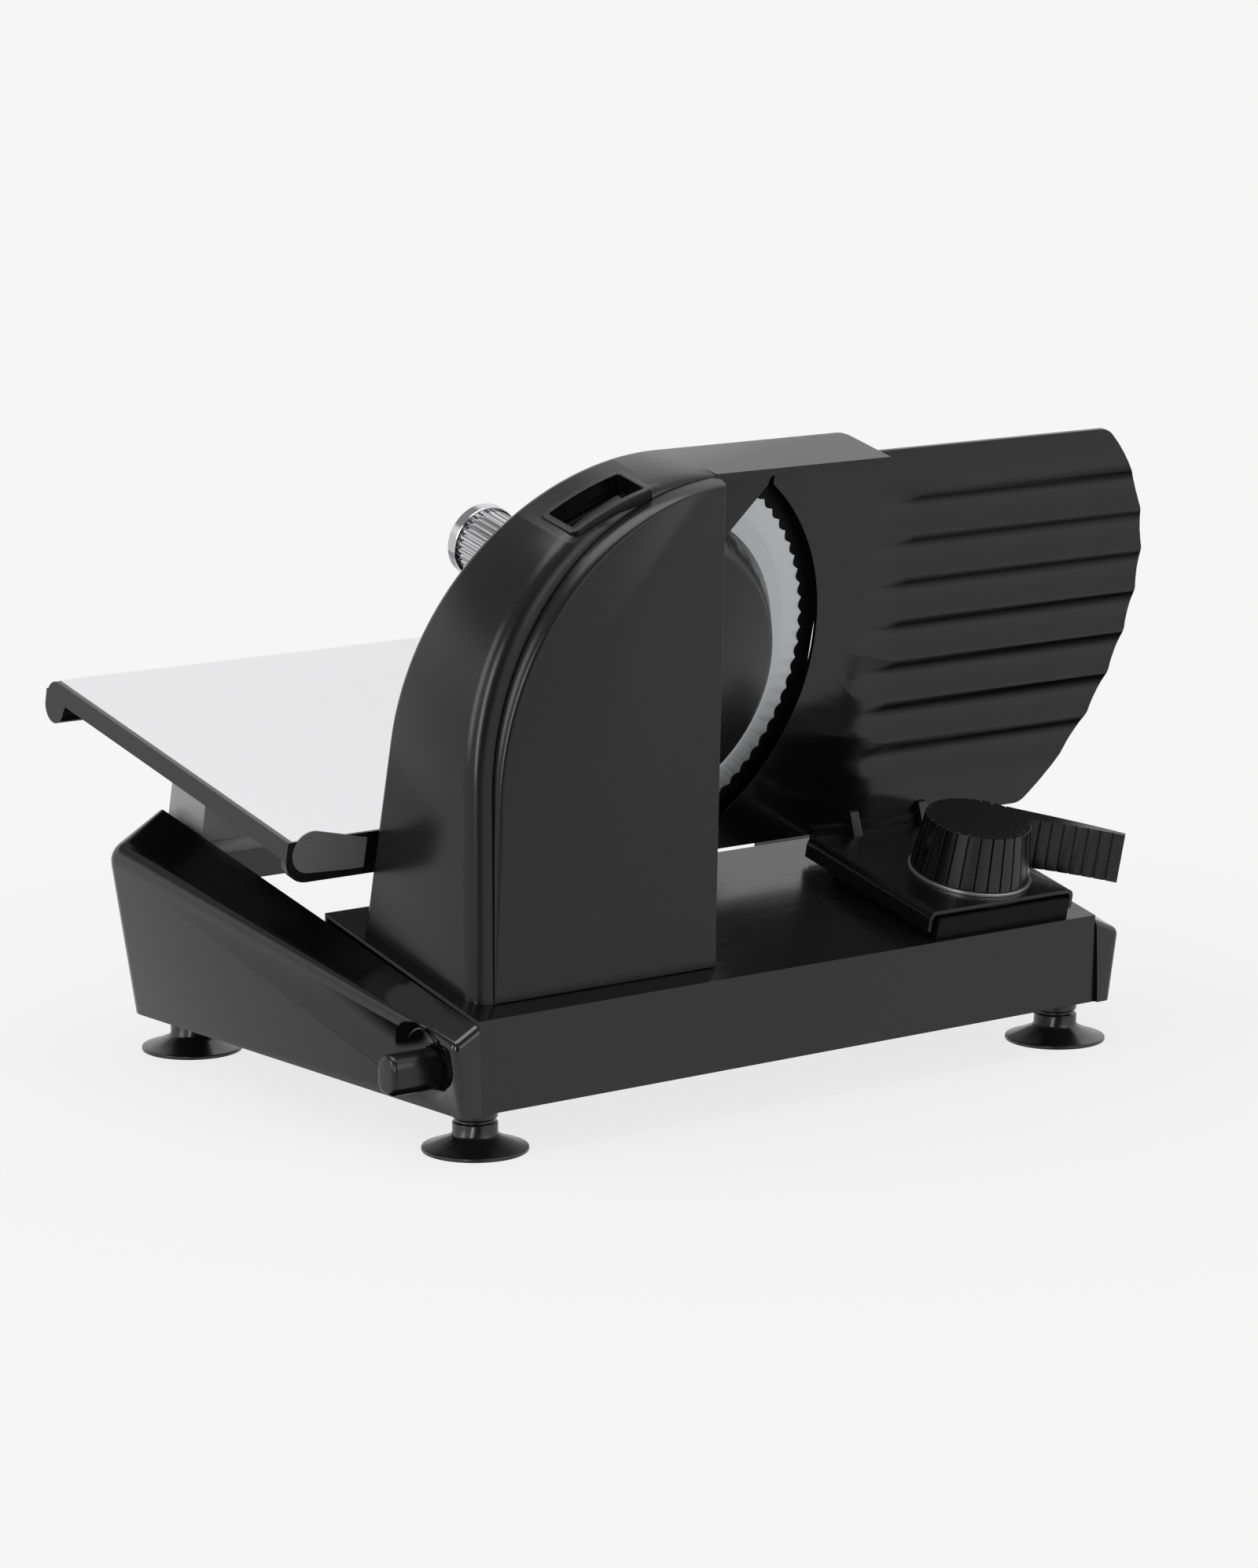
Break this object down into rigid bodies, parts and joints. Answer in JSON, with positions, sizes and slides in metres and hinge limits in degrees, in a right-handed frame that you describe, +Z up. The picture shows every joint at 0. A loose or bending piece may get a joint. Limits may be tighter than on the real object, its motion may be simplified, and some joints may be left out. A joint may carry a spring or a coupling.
{
  "type": "electric food slicer",
  "caption": "Electric food slicer with an inclined serrated disc blade in an arched housing, a ribbed thickness plate set by a knob, a sliding food table with pusher, on suction feet.",
  "frame": {"origin": "on the floor, under the middle of the whole object's bounding box", "axes": "+X along the base towards the thickness knob's end, +Y from the knob side towards the food side, +Z up"},
  "size_m": [0.472, 0.3037, 0.2928],
  "materials": {
    "satin_black_steel": "dark satin, fine grain",
    "housing_black": "satin black",
    "gloss_black": "polished",
    "matt_black": "fine matt",
    "dark_grey": "fine matt",
    "foot_rubber": "smooth, slightly glossy",
    "steel": "brushed",
    "blade_steel": "polished and ground",
    "zinc": "plated",
    "silver_paint": "satin",
    "grey_panel": "satin grey",
    "natural_nylon": "natural",
    "brass": "turned",
    "copper_winding": "lacquered",
    "chrome_plate": "polished",
    "switch_red": "moulded"
  },
  "bodies": {
    "base": {"base_channel": "satin_black_steel", "bottom_plate": "zinc", "left_end_cap": "gloss_black", "right_end_cap": "gloss_black", "carriage_rail": "gloss_black", "foot_cups": "foot_rubber", "foot_studs": "zinc", "base_screws": "zinc", "cord_gland": "matt_black", "micro_switch": "switch_red", "housing_shell": "housing_black", "front_cover": "housing_black", "switch_bezel": "matt_black", "switch_body": "matt_black", "motor_plate": "zinc", "motor_can": "zinc", "idler_pin": "zinc", "shaft_bushes": "brass", "adjuster_rail": "dark_grey"},
    "button": {"safety_button": "matt_black"},
    "switch_rocker": {"rocker": "dark_grey"},
    "motor_turning": {"motor_rotor": "copper_winding", "motor_shaft": "zinc"},
    "idler": {"idler_gear": "natural_nylon"},
    "blade_unit": {"blade_shaft": "zinc", "drive_wheel": "natural_nylon", "blade": "blade_steel", "blade_lock_cap": "matt_black"},
    "guide_slider": {"sliding_cover": "matt_black", "guide_plate": "satin_black_steel", "plate_screws": "zinc", "scale_ring": "silver_paint"},
    "knob_unit": {"thickness_knob": "matt_black", "spiral_cam": "natural_nylon", "knob_screw": "zinc"},
    "carriage": {"table_top": "steel", "table_frame": "gloss_black", "skirt_plate": "grey_panel", "runner_block": "grey_panel", "glide_foot": "natural_nylon", "fence": "matt_black", "rod_brackets": "matt_black", "pusher_rod": "steel"},
    "pusher": {"pusher_slider": "matt_black", "pusher_plate": "matt_black", "pusher_spikes": "steel", "pusher_knob": "chrome_plate", "knob_collar": "chrome_plate"}
  },
  "joints": [
    {"name": "blade_spin", "type": "hinge", "parent": "base", "child": "blade_unit", "pos_m": [-0.0635, -0.06927, 0.19411], "axis": [0, 0.9744, 0.225], "continuous": true},
    {"name": "idler_spin", "type": "hinge", "parent": "base", "child": "idler", "pos_m": [-0.10805, -0.07825, 0.14632], "axis": [0, 0.9744, 0.225], "continuous": true},
    {"name": "motor_spin", "type": "hinge", "parent": "base", "child": "motor_turning", "pos_m": [-0.12605, -0.09073, 0.11144], "axis": [0, 0.9744, 0.225], "continuous": true},
    {"name": "carriage_slide", "type": "slide", "parent": "base", "child": "carriage", "axis": [1, 0, 0], "range_m": [0, 0.19]},
    {"name": "pusher_slide", "type": "slide", "parent": "carriage", "child": "pusher", "axis": [0, 0.9744, 0.225], "range_m": [0, 0.125]},
    {"name": "thickness_slide", "type": "slide", "parent": "base", "child": "guide_slider", "axis": [0, -0.9744, -0.225], "range_m": [0, 0.015]},
    {"name": "knob_turn", "type": "hinge", "parent": "guide_slider", "child": "knob_unit", "pos_m": [0.1035, -0.11398, 0.1099], "axis": [0, 0.225, -0.9744], "range_deg": [0, 200]},
    {"name": "rocker_press", "type": "hinge", "parent": "base", "child": "switch_rocker", "pos_m": [-0.11444, -0.11374, 0.26669], "axis": [0, 0.9744, 0.225], "range_deg": [0, 10.3]},
    {"name": "button_press", "type": "slide", "parent": "base", "child": "button", "axis": [1, 0, 0], "range_m": [0, 0.005], "stiffness_N_per_m": 300, "springref_m": -0.003}
  ],
  "couplings": [
    {"joint": "idler_spin", "follows": "blade_spin", "ratio": -6},
    {"joint": "motor_spin", "follows": "blade_spin", "ratio": 30},
    {"joint": "knob_turn", "follows": "thickness_slide", "rad_per_m": 232.7}
  ]
}
